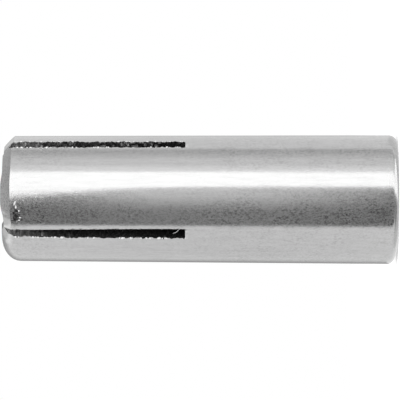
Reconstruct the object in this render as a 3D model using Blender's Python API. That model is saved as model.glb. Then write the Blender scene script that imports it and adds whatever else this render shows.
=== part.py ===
"""Smooth-wall drop-in anchor, 3/8 in size: a slotted steel shell and the expander plug inside it.

Run it with:  blender --background --python part.py

Metres, +Z up. The origin is the centre of the mouth face, which ends flush with the concrete once
the anchor is set. +Z runs along the bore towards the slotted tip, which goes into the hole first.
The anchor stands on its mouth face.
"""

import math

import bmesh
import bpy
from mathutils import Vector

MM = 0.001

# Shell, bore. The thread is cut outwards from this bore, which is its tapping size.
BORE_DIAMETER = 7.94 * MM  # 5/16 in
COUNTERSINK_DEPTH = 0.9 * MM
COUNTERSINK_HALF_ANGLE = math.radians(45)
TAPER_LENGTH = 14.2 * MM  # the stretch that the plug is driven into
TAPER_HALF_ANGLE = math.radians(4)
EXIT_LAND = 1.0 * MM  # straight stretch between the taper and the tip face
EXIT_EDGE = 0.2 * MM

# Shell, outside
SHELL_LENGTH = 39.7 * MM  # 1 9/16 in
WALL = 2.38 * MM  # 3/32 in, which makes the shank 12.7 mm, or 1/2 in, where the slots begin
MOUTH_DRAFT = 0.1 * MM  # radial: a cold-formed shank is thickest at the mouth
TIP_DRAFT = 0.08 * MM  # radial: the fingers are closed in a little after sawing
MOUTH_ROUND = 0.8 * MM
TIP_CHAMFER_LENGTH = 1.1 * MM
TIP_CHAMFER_DEPTH = 1.2 * MM  # radial

# Slots, sawn in two crossing passes, so each pass leaves two slots with one curved floor
SLOT_LENGTH = 18.4 * MM  # measured on the outside of the shell
SLOT_ROOT_WIDTH = 1.0 * MM
SLOT_TIP_WIDTH = 0.87 * MM  # narrower, because the fingers are closed in
SAW_RADIUS = 32.0 * MM
SLOT_PASSES = 2

# Expander plug
PLUG_BODY_LENGTH = 6.0 * MM
PLUG_CONE_LENGTH = 6.5 * MM
PLUG_EDGE = 0.4 * MM
PLUG_CLEARANCE = 0.08 * MM  # radial, between the plug and the bore
PLUG_TRAVEL = 2.0 * MM  # free run from where it is supplied to where its cone meets the taper
SEAT_GAP = 0.03 * MM  # radial, left between cone and taper at the end of that run

# Facets
SEGMENTS = 96  # round the axis
ROUND_STEPS = 5  # along the rounded mouth edge
FLOOR_STEPS = 12  # along the curved floor of a slot
SHARP_ANGLE = math.radians(25)
CUT_MARGIN = 1.0 * MM  # how far a cutter runs past what it cuts
WELD = 0.0001 * MM  # closer points than this are one

# Worked out from the sizes above
BORE_RADIUS = BORE_DIAMETER / 2
SHANK_RADIUS = BORE_RADIUS + WALL
SLOT_ROOT = SHELL_LENGTH - SLOT_LENGTH
TAPER_END = SHELL_LENGTH - EXIT_LAND
TAPER_START = TAPER_END - TAPER_LENGTH
TAPER_SLOPE = math.tan(TAPER_HALF_ANGLE)
EXIT_RADIUS = BORE_RADIUS - TAPER_LENGTH * TAPER_SLOPE
PLUG_RADIUS = BORE_RADIUS - PLUG_CLEARANCE
PLUG_SLACK = (PLUG_CLEARANCE - SEAT_GAP) / TAPER_SLOPE  # how far its cone enters before it seats
PLUG_REAR = TAPER_START + PLUG_SLACK - PLUG_TRAVEL - PLUG_BODY_LENGTH


def shell_outer_radius(z):
    """Radius of the shank at height z: drafted up to the slots, then closed in towards the tip."""
    if z <= SLOT_ROOT:
        return SHANK_RADIUS + MOUTH_DRAFT * (1 - z / SLOT_ROOT)
    return SHANK_RADIUS - TIP_DRAFT * (z - SLOT_ROOT) / SLOT_LENGTH


def mouth_edge():
    """Points of the rounded outer edge of the mouth, from the shank down to the mouth face."""
    shank_radius = shell_outer_radius(MOUTH_ROUND)
    points = []
    for step in range(ROUND_STEPS + 1):
        turn = math.pi / 2 * step / ROUND_STEPS
        inwards = MOUTH_ROUND * (1 - math.cos(turn))
        down = MOUTH_ROUND * math.sin(turn)
        points.append((shank_radius - inwards, MOUTH_ROUND - down))
    return points


def shell_profile():
    """Closed half section of the shell as (radius, height): down the outside, then up the bore."""
    chamfer_start = SHELL_LENGTH - TIP_CHAMFER_LENGTH
    chamfer_radius = shell_outer_radius(chamfer_start)
    outside = [
        (chamfer_radius - TIP_CHAMFER_DEPTH, SHELL_LENGTH),
        (chamfer_radius, chamfer_start),
        (SHANK_RADIUS, SLOT_ROOT),
    ]
    inside = [
        (BORE_RADIUS + COUNTERSINK_DEPTH * math.tan(COUNTERSINK_HALF_ANGLE), 0.0),
        (BORE_RADIUS, COUNTERSINK_DEPTH),
        (BORE_RADIUS, TAPER_START),
        (EXIT_RADIUS, TAPER_END),
        (EXIT_RADIUS, SHELL_LENGTH - EXIT_EDGE),
        (EXIT_RADIUS + EXIT_EDGE, SHELL_LENGTH),
    ]
    return outside + mouth_edge() + inside


def plug_profile():
    """Half section of the plug as (radius, height above its rear face), from nose to rear."""
    length = PLUG_BODY_LENGTH + PLUG_CONE_LENGTH
    nose_radius = PLUG_RADIUS - PLUG_CONE_LENGTH * TAPER_SLOPE
    return [
        (0.0, length),
        (nose_radius - PLUG_EDGE, length),
        (nose_radius + PLUG_EDGE * TAPER_SLOPE, length - PLUG_EDGE),
        (PLUG_RADIUS, PLUG_BODY_LENGTH),
        (PLUG_RADIUS, PLUG_EDGE),
        (PLUG_RADIUS - PLUG_EDGE, 0.0),
        (0.0, 0.0),
    ]


def steel(name, colour, roughness):
    """A metal material with its base colour (linear RGB) and roughness."""
    material = bpy.data.materials.new(name)
    material.use_nodes = True
    shader = material.node_tree.nodes["Principled BSDF"]
    shader.inputs["Base Color"].default_value = (*colour, 1.0)
    shader.inputs["Metallic"].default_value = 1.0
    shader.inputs["Roughness"].default_value = roughness
    return material


def add_object(name, mesh_data, material=None):
    """Links a mesh to the scene as a new object, smooth across its facets and sharp at its edges."""
    if material is not None:
        mesh_data.materials.append(material)
    mesh_data.shade_smooth()
    mesh_data.set_sharp_from_angle(angle=SHARP_ANGLE)
    new_object = bpy.data.objects.new(name, mesh_data)
    bpy.context.scene.collection.objects.link(new_object)
    return new_object


def turned(name, profile, closed, material):
    """A body of revolution about Z, spun from a half section. A closed section makes a ring."""
    shape = bmesh.new()
    points = [shape.verts.new((radius, 0.0, height)) for radius, height in profile]
    edges = [shape.edges.new(pair) for pair in zip(points, points[1:])]
    if closed:
        edges.append(shape.edges.new((points[-1], points[0])))
    bmesh.ops.spin(
        shape,
        geom=points + edges,
        cent=(0.0, 0.0, 0.0),
        axis=(0.0, 0.0, 1.0),
        angle=2 * math.pi,
        steps=SEGMENTS,
        use_merge=True,
    )
    bmesh.ops.remove_doubles(shape, verts=shape.verts[:], dist=WELD)
    bmesh.ops.recalc_face_normals(shape, faces=shape.faces[:])
    mesh_data = bpy.data.meshes.new(name)
    shape.to_mesh(mesh_data)
    shape.free()
    return add_object(name, mesh_data, material)


def slot_half_width(z):
    """Half the width of a slot at height z, between its root and the tip of the fingers."""
    share = (z - SLOT_ROOT) / SLOT_LENGTH
    return (SLOT_ROOT_WIDTH + (SLOT_TIP_WIDTH - SLOT_ROOT_WIDTH) * share) / 2


def saw_sag(across):
    """How much higher the saw's round edge stands at a distance from the axis than on it."""
    return SAW_RADIUS - math.sqrt(SAW_RADIUS**2 - across**2)


def slot_cutter(name):
    """The space that one saw pass clears: a thin upright plate with a round lower edge."""
    reach = SHANK_RADIUS + CUT_MARGIN
    top = SHELL_LENGTH + CUT_MARGIN
    floor = SLOT_ROOT - saw_sag(SHANK_RADIUS)
    outline = []
    for step in range(FLOOR_STEPS + 1):
        across = reach * (2 * step / FLOOR_STEPS - 1)
        outline.append((across, floor + saw_sag(across)))
    outline += [(reach, top), (-reach, top)]

    shape = bmesh.new()
    front = [shape.verts.new((x, -slot_half_width(z), z)) for x, z in outline]
    back = [shape.verts.new((x, slot_half_width(z), z)) for x, z in outline]
    shape.faces.new(front)
    shape.faces.new(reversed(back))
    for index in range(len(outline)):
        after = (index + 1) % len(outline)
        shape.faces.new((front[after], front[index], back[index], back[after]))
    bmesh.ops.triangulate(shape, faces=[face for face in shape.faces if len(face.verts) > 4])
    bmesh.ops.recalc_face_normals(shape, faces=shape.faces[:])
    mesh_data = bpy.data.meshes.new(name)
    shape.to_mesh(mesh_data)
    shape.free()
    cutter = add_object(name, mesh_data)
    cutter.hide_render = True
    cutter.display_type = "WIRE"
    return cutter


def make_shell(zinc, axis):
    """The shell: turned all over, then sawn across its tip into four fingers."""
    shell = turned("anchor_shell", shell_profile(), True, zinc)
    shell.parent = axis
    for number in range(SLOT_PASSES):
        cutter = slot_cutter(f"slot_cutter_{number + 1}")
        cutter.rotation_euler.z = math.pi * number / SLOT_PASSES
        cutter.parent = axis
        cut = shell.modifiers.new(f"saw_pass_{number + 1}", "BOOLEAN")
        cut.operation = "DIFFERENCE"
        cut.solver = "EXACT"
        cut.object = cutter


def make_plug(plain_steel, axis):
    """The expander plug, loose in the bore behind the taper. It slides up the axis when driven."""
    plug = turned("expander_plug", plug_profile(), False, plain_steel)
    plug.location = Vector((0.0, 0.0, PLUG_REAR))
    plug.parent = axis


def main():
    """Clears the scene and builds the anchor."""
    for old in list(bpy.data.objects):
        bpy.data.objects.remove(old)
    axis = bpy.data.objects.new("bore_axis", None)
    bpy.context.scene.collection.objects.link(axis)
    zinc = steel("zinc_plated_steel", (0.62, 0.62, 0.61), 0.24)
    plain_steel = steel("plain_steel", (0.40, 0.40, 0.40), 0.38)
    make_shell(zinc, axis)
    make_plug(plain_steel, axis)


main()
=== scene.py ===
"""Looks of a smooth-wall drop-in anchor: bright zinc-plated steel, sawn into four fingers at its tip.

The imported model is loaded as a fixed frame. Modelled pieces stand for its two solids: the shell, with
its ragged saw cuts, worn edges and tapped thread, and the plug that waits in its bore. Metres, +Z up
the bore. A view angle is counted round the bore from the middle of the side that the photograph shows,
upwards in the picture.
"""

import logging
import math
import random
from collections import Counter
from collections.abc import Callable, Iterator, Mapping
from contextlib import contextmanager
from dataclasses import dataclass, replace
from enum import Enum
from functools import partial

import bpy
import numpy as np
from mathutils import Matrix, Vector, noise


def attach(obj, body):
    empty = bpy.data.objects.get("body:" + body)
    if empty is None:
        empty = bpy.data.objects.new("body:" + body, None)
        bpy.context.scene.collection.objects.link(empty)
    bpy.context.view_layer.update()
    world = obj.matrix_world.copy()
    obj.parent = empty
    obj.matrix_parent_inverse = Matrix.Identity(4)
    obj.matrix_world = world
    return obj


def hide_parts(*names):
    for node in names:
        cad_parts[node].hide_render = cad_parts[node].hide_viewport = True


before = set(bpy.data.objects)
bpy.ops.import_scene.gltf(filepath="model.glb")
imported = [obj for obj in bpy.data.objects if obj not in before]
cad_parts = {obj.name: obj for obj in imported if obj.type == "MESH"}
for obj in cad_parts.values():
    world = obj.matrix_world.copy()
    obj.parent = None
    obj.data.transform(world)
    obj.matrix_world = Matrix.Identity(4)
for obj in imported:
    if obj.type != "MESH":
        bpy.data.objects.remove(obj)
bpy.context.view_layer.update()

MM = 0.001
INCH = 25.4 * MM
VIEW_AZIMUTH = -58.0  # degrees from +X to the middle of the side that the photograph shows
WELD = 0.0001 * MM  # closer points than this are one
SAME_CORNER = 0.01 * MM  # a point this close to a corner of a section was drawn as that corner
FLAT = 1e-7  # a face of the bore leans inwards by more than this
WAVE_PERIOD = math.tau / 20  # length of one wave of the wave texture, at scale 1

log = logging.getLogger("drop_in_anchor")

Section = list[tuple[float, float]]
Links = Mapping[str | int, object]


class Place(Enum):
    """Where a face of the shell lies, which is also the number of its material slot."""

    OUTSIDE = 0
    SAWN = 1
    BORE = 2


# Angles and colours


def world_angle(view_angle: float) -> float:
    """Turns a view angle in degrees into an angle in radians round +Z, counted from +X."""
    return math.radians(VIEW_AZIMUTH + view_angle)


def view_angle_of(x: float, y: float) -> float:
    """The view angle of a place, in degrees from -180 to 180."""
    angle = math.degrees(math.atan2(y, x)) - VIEW_AZIMUTH
    return (angle + 180) % 360 - 180


def polar(radius: float, angle: float, height: float) -> Vector:
    """A point at a radius, an angle in radians round +Z, and a height."""
    return Vector((radius * math.cos(angle), radius * math.sin(angle), height))


def smooth_step(low: float, high: float, value: float) -> float:
    """Eases from 0 at low to 1 at high. Low may be the larger of the two."""
    share = min(max((value - low) / (high - low), 0.0), 1.0)
    return share * share * (3 - 2 * share)


def mixed(first: float, second: float, share: float) -> float:
    """The value that lies at a share of the way from the first to the second."""
    return first + (second - first) * share


def grain(size: float, x: float, y: float, z: float) -> float:
    """Smooth noise from about -1 to 1, with bumps of a size, at a place."""
    return noise.noise(Vector((x, y, z)) / size)


def linear(hex_colour: str) -> tuple[float, float, float, float]:
    """Turns an sRGB hex colour into the linear values that the shaders take.

    Args:
        hex_colour: Six hex digits, such as "C4C5C6".

    Returns:
        Red, green, blue and alpha, with alpha 1.
    """
    channels = [int(hex_colour[index : index + 2], 16) / 255 for index in (0, 2, 4)]
    red, green, blue = (c / 12.92 if c <= 0.04045 else ((c + 0.055) / 1.055) ** 2.4 for c in channels)
    return red, green, blue, 1.0


# Modelling by hand: each helper is a few of the modeller's own steps


def deselect_all() -> None:
    """Clears the selection, so that an operator acts only on what is chosen next."""
    for chosen in list(bpy.context.selected_objects):
        chosen.select_set(False)


def activate(piece: bpy.types.Object) -> None:
    """Makes one object the only selected one, and the active one."""
    deselect_all()
    piece.select_set(True)
    bpy.context.view_layer.objects.active = piece


@contextmanager
def editing(piece: bpy.types.Object, whole: bool = False) -> Iterator[None]:
    """Holds an object in edit mode for a block of operators.

    Args:
        piece: The mesh object to edit.
        whole: Whether all of it is selected first.
    """
    activate(piece)
    bpy.ops.object.mode_set(mode="EDIT")
    if whole:
        bpy.ops.mesh.select_all(action="SELECT")
    yield
    bpy.ops.object.mode_set(mode="OBJECT")


def choose_faces(piece: bpy.types.Object, wanted: Callable[[bpy.types.MeshPolygon], bool]) -> None:
    """Selects faces in object mode by their place or normal, for the next edit.

    Args:
        piece: The mesh object.
        wanted: Says whether a face is selected.
    """
    mesh = piece.data
    mesh.vertices.foreach_set("select", [False] * len(mesh.vertices))
    mesh.edges.foreach_set("select", [False] * len(mesh.edges))
    mesh.polygons.foreach_set("select", [bool(wanted(face)) for face in mesh.polygons])


def add_grid(columns: int, rows: int) -> bpy.types.Object:
    """Adds a grid one metre wide, which is then bent into shape."""
    deselect_all()
    bpy.ops.mesh.primitive_grid_add(x_subdivisions=columns, y_subdivisions=rows, size=1.0)
    return bpy.context.active_object


def apply_modifier(piece: bpy.types.Object, kind: str, **settings: object) -> None:
    """Adds a modifier, gives it its settings and applies it.

    Args:
        piece: The mesh object.
        kind: The modifier's type, such as "BOOLEAN".
        **settings: Values for the modifier's own properties.
    """
    activate(piece)
    modifier = piece.modifiers.new(kind.title(), kind)
    for name, value in settings.items():
        setattr(modifier, name, value)
    bpy.ops.object.modifier_apply(modifier=modifier.name)


def cut_away(piece: bpy.types.Object, cutter: bpy.types.Object) -> None:
    """Cuts one mesh out of another exactly, then removes the cutter."""
    apply_modifier(piece, "BOOLEAN", operation="DIFFERENCE", solver="EXACT", object=cutter)
    cutter_mesh = cutter.data
    bpy.data.objects.remove(cutter)
    bpy.data.meshes.remove(cutter_mesh)


def draw_section(name: str, points: Section, closed: bool) -> bpy.types.Object:
    """Draws a half section in the XZ plane by extruding one point along it.

    Args:
        name: The new object's name.
        points: The section's corners as (radius, height), in metres.
        closed: Whether the last point joins the first.

    Returns:
        A mesh object of edges only.
    """
    deselect_all()
    bpy.ops.mesh.primitive_plane_add(size=MM)
    section = bpy.context.active_object
    section.name = section.data.name = name
    with editing(section, whole=True):
        bpy.ops.mesh.merge(type="CENTER")
        bpy.ops.transform.translate(value=(points[0][0], 0.0, points[0][1]))
        for before, after in zip(points, points[1:]):
            step = (after[0] - before[0], 0.0, after[1] - before[1])
            bpy.ops.mesh.extrude_region_move(TRANSFORM_OT_translate={"value": step})
        bpy.ops.mesh.select_all(action="DESELECT")
    if closed:
        corners = places(section.data)
        for radius, height in (points[0], points[-1]):
            away = np.hypot(corners[:, 0] - radius, corners[:, 2] - height)
            section.data.vertices[int(away.argmin())].select = True
        with editing(section):
            bpy.ops.mesh.edge_face_add()
    return section


def join(parts: list[bpy.types.Object]) -> bpy.types.Object:
    """Joins objects into the first of them."""
    activate(parts[0])
    for part in parts:
        part.select_set(True)
    bpy.ops.object.join()
    return bpy.context.active_object


def spin_section(section: bpy.types.Object, steps: int) -> None:
    """Spins a half section right round the bore and closes its seam and poles.

    Args:
        section: The drawn section, which becomes the turned body.
        steps: Facets in a full circle.
    """
    with editing(section, whole=True):
        bpy.ops.mesh.spin(steps=steps, angle=math.tau, center=(0, 0, 0), axis=(0, 0, 1))
        bpy.ops.mesh.select_all(action="SELECT")
        bpy.ops.mesh.remove_doubles(threshold=WELD)
        bpy.ops.mesh.normals_make_consistent(inside=False)
        bpy.ops.mesh.select_all(action="DESELECT")


def places(mesh: bpy.types.Mesh) -> np.ndarray:
    """The places of a mesh's points, one row each."""
    values = np.empty(len(mesh.vertices) * 3)
    mesh.vertices.foreach_get("co", values)
    return values.reshape(-1, 3)


def put_places(mesh: bpy.types.Mesh, values: np.ndarray) -> None:
    """Moves a mesh's points to new places."""
    mesh.vertices.foreach_set("co", np.asarray(values, dtype=float).ravel())
    mesh.update()


def smooth_by_angle(piece: bpy.types.Object, degrees: float) -> None:
    """Shades a piece smooth, and keeps edges sharper than an angle crisp."""
    activate(piece)
    bpy.ops.object.shade_smooth_by_angle(angle=math.radians(degrees))


# Finishes


def add_node(
    tree: bpy.types.NodeTree, kind: str, links: Links | None = None, **settings: object
) -> bpy.types.Node:
    """Adds a shader node with its settings, and links or sets its inputs.

    Args:
        tree: The node tree.
        kind: The node's type without its "ShaderNode".
        links: For each input, by name or number, what feeds it: a socket, a node with its first
            output, or a plain value.
        **settings: Values for the node's own properties.

    Returns:
        The new node.
    """
    node = tree.nodes.new("ShaderNode" + kind)
    for name, value in settings.items():
        setattr(node, name, value)
    for key, value in (links or {}).items():
        if isinstance(value, bpy.types.Node):
            value = next(socket for socket in value.outputs if socket.enabled)
        if isinstance(value, bpy.types.NodeSocket):
            tree.links.new(value, node.inputs[key])
        else:
            node.inputs[key].default_value = value
    return node


def new_material(name: str) -> tuple[bpy.types.Material, Callable[..., bpy.types.Node]]:
    """Starts a material with an empty node tree, and gives the function that adds nodes to it."""
    material = bpy.data.materials.new(name)
    material.use_nodes = True
    material.node_tree.nodes.clear()
    return material, partial(add_node, material.node_tree)


def set_stops(node: bpy.types.Node, stops: list[tuple[float, float]]) -> None:
    """Gives a ramp its stops as (position, grey level)."""
    elements = node.color_ramp.elements
    while len(elements) > 1:
        elements.remove(elements[-1])
    elements[0].position = stops[0][0]
    elements[0].color = (*[stops[0][1]] * 3, 1.0)
    for position, level in stops[1:]:
        element = elements.new(position)
        element.color = (*[level] * 3, 1.0)


@dataclass(frozen=True)
class ZincPlate:
    """Bright zinc electroplate on cold-formed steel, tumbled in bulk before plating.

    It reads as clean pale grey metal that mirrors the lights in sharp bands. Short marks from
    handling show only where it mirrors something dark, mostly near its two ends. Burrs and torn
    edges are brighter and duller, and the torn pit is painted darker, as painted shade.
    """

    name: str = "bright_zinc_plated_steel"
    plate: str = "C1C1C1"
    # Dark grey of the pit's painted shade; the handling marks are mixed a little towards it too
    soil: str = "4C4C4C"
    rubbed: str = "D8D8D8"
    roughness: float = 0.08
    hazy_roughness: float = 0.12
    rubbed_roughness: float = 0.24
    mark_width: float = 0.15 * MM
    mark_length: float = 0.26 * MM
    milkiness: float = 0.25
    mark_darkness: float = 0.24
    mark_height: float = 0.0055 * MM
    burr_metal: float = 0.45
    patch_size: float = 1.6 * MM
    streak_width: float = 0.28 * MM
    streak_length: float = 2.6 * MM
    streak_height: float = 0.0006 * MM
    streak_contrast: float = 0.035
    ripple_size: float = 3.5 * MM
    ripple_height: float = 0.003 * MM
    # Heights where each end's handling begins and where it is full, and its share in between them
    mouth_handling: tuple[float, float] = (23.0 * MM, 15.0 * MM)
    tip_handling: tuple[float, float] = (30.0 * MM, 37.0 * MM)
    middle_handling: float = 0.65

    def material(self) -> bpy.types.Material:
        """Builds the plate's nodes.

        Returns:
            The material.
        """
        material, node = new_material(self.name)
        place = node("TexCoord").outputs["Object"]
        wear = node("Attribute", attribute_name="wear").outputs["Fac"]
        soil = node("Attribute", attribute_name="soil").outputs["Fac"]
        height = node("SeparateXYZ", {0: place}).outputs["Z"]

        # Short marks along the shank, 0.15 mm wide, from rubbing against other anchors
        scale = (1 / self.mark_width, 1 / self.mark_width, 1 / self.mark_length)
        along = node("Mapping", {"Vector": place, "Scale": scale})
        marks = node("TexNoise", {"Vector": along, "Scale": 1.0, "Detail": 4.0, "Roughness": 0.78})
        # Patches, a millimetre or two wide, where the marks gather
        settings = {"Scale": 1 / self.patch_size, "Detail": 3.0, "Roughness": 0.55}
        patches = node("TexNoise", {"Vector": place, **settings})
        gathered = node("MapRange", {"Value": patches, "From Min": 0.36, "From Max": 0.60, "To Min": 0.5})
        # Both ends are handled more than the middle
        ends = []
        for begins, full in (self.mouth_handling, self.tip_handling):
            reach = {"Value": height, "From Min": begins, "From Max": full}
            ends.append(node("MapRange", reach, interpolation_type="SMOOTHSTEP"))
        handled = node("Math", {0: ends[0], 1: ends[1]}, operation="MAXIMUM")
        handled = node("MapRange", {"Value": handled, "To Min": self.middle_handling})
        handled = node("Math", {0: handled, 1: gathered}, operation="MULTIPLY")

        # A mark is rubbed clear of the plate's haze, so it is darker only against a dark reflection
        clear = node("MapRange", {"Value": marks, "From Min": 0.53, "From Max": 0.42})
        clear = node("Math", {0: clear, 1: handled}, operation="MULTIPLY")
        metal = node("MapRange", {"Value": clear, "To Min": 1 - self.milkiness, "To Max": 1.0})
        # Torn, plated burrs are milky all through
        metal = node("Mix", {"Factor": wear, "A": metal, "B": self.burr_metal}, data_type="FLOAT")
        faint = node("Math", {0: clear, 1: self.mark_darkness}, operation="MULTIPLY")
        # Handling marks are darkened a little, and the torn pit fully by its mask: painted shade inside the
        # pit
        marked_or_pit_shaded = node("Math", {0: faint, 1: soil}, operation="MAXIMUM", use_clamp=True)
        shades = {"Factor": marked_or_pit_shaded, "A": linear(self.plate), "B": linear(self.soil)}
        colour = node("Mix", shades, data_type="RGBA")
        colour = node("Mix", {"Factor": wear, "A": colour, "B": linear(self.rubbed)}, data_type="RGBA")
        # Lines along the shank, where the bar was drawn through its die, show faintly in the plate
        scale = (1 / self.streak_width, 1 / self.streak_width, 1 / self.streak_length)
        stretched = node("Mapping", {"Vector": place, "Scale": scale})
        streaks = node("TexNoise", {"Vector": stretched, "Scale": 1.0, "Detail": 2.0, "Roughness": 0.6})
        levels = {"To Min": 1 - self.streak_contrast, "To Max": 1 + self.streak_contrast}
        lines = node("MapRange", {"Value": streaks, "From Min": 0.3, "From Max": 0.7, **levels})
        colour = node("VectorMath", {0: colour, "Scale": lines}, operation="SCALE")

        levels = {"To Min": self.roughness, "To Max": self.hazy_roughness}
        haze = node("MapRange", {"Value": marks, "From Min": 0.42, "From Max": 0.7, **levels})
        dull = node("Math", {0: wear, 1: soil}, operation="MAXIMUM", use_clamp=True)
        roughness = node("Mix", {"Factor": dull, "A": haze, "B": self.rubbed_roughness}, data_type="FLOAT")

        # Slow ripple of the cold-formed surface, under the drawing lines and the marks
        ripple = node("TexNoise", {"Vector": place, "Scale": 1 / self.ripple_size, "Detail": 1.0})
        rippled = node("Bump", {"Height": ripple, "Distance": self.ripple_height})
        drawn = node("Bump", {"Height": streaks, "Distance": self.streak_height, "Normal": rippled})
        # The faced-off mouth has no marks
        off_face = node("MapRange", {"Value": height, "From Min": 0.01 * MM, "From Max": 0.08 * MM})
        scuffs = node("Math", {0: marks, 1: handled}, operation="MULTIPLY")
        scuffs = node("Math", {0: scuffs, 1: off_face}, operation="MULTIPLY")
        marked = node("Bump", {"Height": scuffs, "Distance": self.mark_height, "Normal": drawn})
        finish = {"Base Color": colour, "Metallic": metal, "Roughness": roughness, "Normal": marked}
        node("OutputMaterial", {"Surface": node("BsdfPrincipled", finish)})
        return material


@dataclass(frozen=True)
class SawnSteel:
    """Mild steel as the slitting saw left it, thinly plated deep in the cut.

    It reads as dark, coarse grey metal with arcs across it and bright crumbs. It is painted
    darkest at the root, as painted shade deep in the cut, and lighter where the cut opens at the
    tip, as painted light.
    """

    name: str = "sawn_thinly_plated_steel"
    # Painted shade: the colour deep at the slot's root
    root: str = "606060"
    dark: str = "6C6C6C"
    light: str = "D0D0D0"
    roughness: float = 0.55
    root_shade_full: float = 22.0 * MM
    root_shade_start: float = 27.0 * MM
    tip_light_start: float = 32.0 * MM
    tip_light_full: float = 39.4 * MM
    tip_light_level: float = 0.8
    arc_spacing: float = 1.0053 * MM
    tooth_height: float = 0.012 * MM
    crumb_size: float = 0.16 * MM

    def material(self) -> bpy.types.Material:
        """Builds the sawn surface's nodes.

        Returns:
            The material.
        """
        material, node = new_material(self.name)
        place = node("TexCoord").outputs["Object"]
        height = node("SeparateXYZ", {0: place}).outputs["Z"]
        torn_edge = node("Attribute", attribute_name="wear").outputs["Fac"]
        # Wavering arcs of the saw's feed, about 1 mm apart
        settings = {"Distortion": 1.2, "Detail": 2.0, "Detail Scale": 2.0}
        scale = WAVE_PERIOD / self.arc_spacing
        arcs = node("TexWave", {"Vector": place, "Scale": scale, **settings}, bands_direction="Z")
        settings = {"Scale": 1 / self.crumb_size, "Detail": 3.0, "Roughness": 0.65}
        crumbs = node("TexNoise", {"Vector": place, **settings})
        lighter = node("MapRange", {"Value": crumbs, "From Min": 0.52, "From Max": 0.74})
        # Painted light: lighter towards the tip, where the cut stands open to the light
        reach = {"From Min": self.tip_light_start, "From Max": self.tip_light_full, "To Max": self.tip_light_level}
        painted_tip_light = node("MapRange", {"Value": height, **reach}, interpolation_type="SMOOTHSTEP")
        lighter = node("Math", {0: lighter, 1: painted_tip_light}, operation="ADD", use_clamp=True)
        lighter = node("Math", {0: lighter, 1: torn_edge}, operation="MAXIMUM", use_clamp=True)
        shades = {"Factor": lighter, "A": linear(self.dark), "B": linear(self.light)}
        metal = node("Mix", shades, data_type="RGBA")
        # Painted shade: darker towards the slot's root, deep in the cut
        reach = {"From Min": self.root_shade_start, "From Max": self.root_shade_full}
        painted_root_shade = node("MapRange", {"Value": height, **reach}, interpolation_type="SMOOTHSTEP")
        colour = node("Mix", {"Factor": painted_root_shade, "A": metal, "B": linear(self.root)}, data_type="RGBA")
        teeth = node("Bump", {"Height": arcs.outputs["Fac"], "Distance": self.tooth_height})
        torn = node("Bump", {"Height": crumbs, "Distance": self.tooth_height, "Normal": teeth})
        finish = {"Base Color": colour, "Metallic": 1.0, "Roughness": self.roughness, "Normal": torn}
        node("OutputMaterial", {"Surface": node("BsdfPrincipled", finish)})
        return material


@dataclass(frozen=True)
class TornSteelPaintedGlints:
    """Steel torn into crumbs by the saw and plated over.

    Its many small facets glitter; their glints are painted into its near-white colour as painted
    highlights, so at arm's length it reads as white flecks.
    """

    name: str = "torn_steel_painted_glints"
    dull: str = "E4E4E4"
    bright: str = "FCFCFC"
    metal: float = 0.1
    roughness: float = 0.30
    facet_size: float = 0.12 * MM
    facet_height: float = 0.01 * MM

    def material(self) -> bpy.types.Material:
        """Builds the torn surface's nodes.

        Returns:
            The material.
        """
        material, node = new_material(self.name)
        place = node("TexCoord").outputs["Object"]
        facets = node("TexVoronoi", {"Vector": place, "Scale": 1 / self.facet_size})
        share = node("SeparateColor", {0: facets.outputs["Color"]}).outputs[0]
        # Painted highlight: both colours are near white and stand in for the facets' glints
        shades = {"Factor": share, "A": linear(self.dull), "B": linear(self.bright)}
        colour = node("Mix", shades, data_type="RGBA")
        tilted = node("Bump", {"Height": facets.outputs["Distance"], "Distance": self.facet_height})
        finish = {"Metallic": self.metal, "Roughness": self.roughness, "Normal": tilted}
        node("OutputMaterial", {"Surface": node("BsdfPrincipled", {"Base Color": colour, **finish})})
        return material


@dataclass(frozen=True)
class MachinedSteel:
    """Steel as a drill, tap or lathe leaves it: grey, with fine rings round the axis.

    It reads as duller than the plate, with thin concentric lines that catch the light and a patchy
    film of oil or thin zinc.
    """

    name: str
    metal: str
    film: str
    roughness: float
    film_roughness: float = 0.12
    ring_spacing: float = 0.754 * MM
    ring_height: float = 0.003 * MM
    patch_size: float = 1.1 * MM

    def material(self) -> bpy.types.Material:
        """Builds the machined surface's nodes.

        Returns:
            The material.
        """
        material, node = new_material(self.name)
        place = node("TexCoord").outputs["Object"]
        # Tool rings, one every 0.75 mm of height
        settings = {"Scale": WAVE_PERIOD / self.ring_spacing, "Distortion": 0.6, "Detail": 1.0}
        rings = node("TexWave", {"Vector": place, **settings}, bands_direction="Z")
        settings = {"Scale": 1 / self.patch_size, "Detail": 5.0, "Roughness": 0.6}
        patches = node("TexNoise", {"Vector": place, **settings})
        share = node("MapRange", {"Value": patches, "From Min": 0.38, "From Max": 0.68})
        shades = {"Factor": share, "A": linear(self.metal), "B": linear(self.film)}
        colour = node("Mix", shades, data_type="RGBA")
        levels = {"To Min": self.roughness, "To Max": self.roughness + self.film_roughness}
        roughness = node("MapRange", {"Value": share, **levels})
        ringed = node("Bump", {"Height": rings.outputs["Fac"], "Distance": self.ring_height})
        finish = {"Base Color": colour, "Metallic": 1.0, "Roughness": roughness, "Normal": ringed}
        node("OutputMaterial", {"Surface": node("BsdfPrincipled", finish)})
        return material


# The shell


@dataclass(frozen=True)
class FingerTip:
    """How one finger ends on the outside.

    Attributes:
        start: The view angle of the slot that it begins at, in degrees.
        axial: How far the edge reaches down the finger.
        radial: How far it reaches inwards across the end.
        fullness: 0 for a straight chamfer, 1 for a round edge.
        short: How far the finger's end stands back.
    """

    start: float
    axial: float
    radial: float
    fullness: float
    short: float


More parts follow.
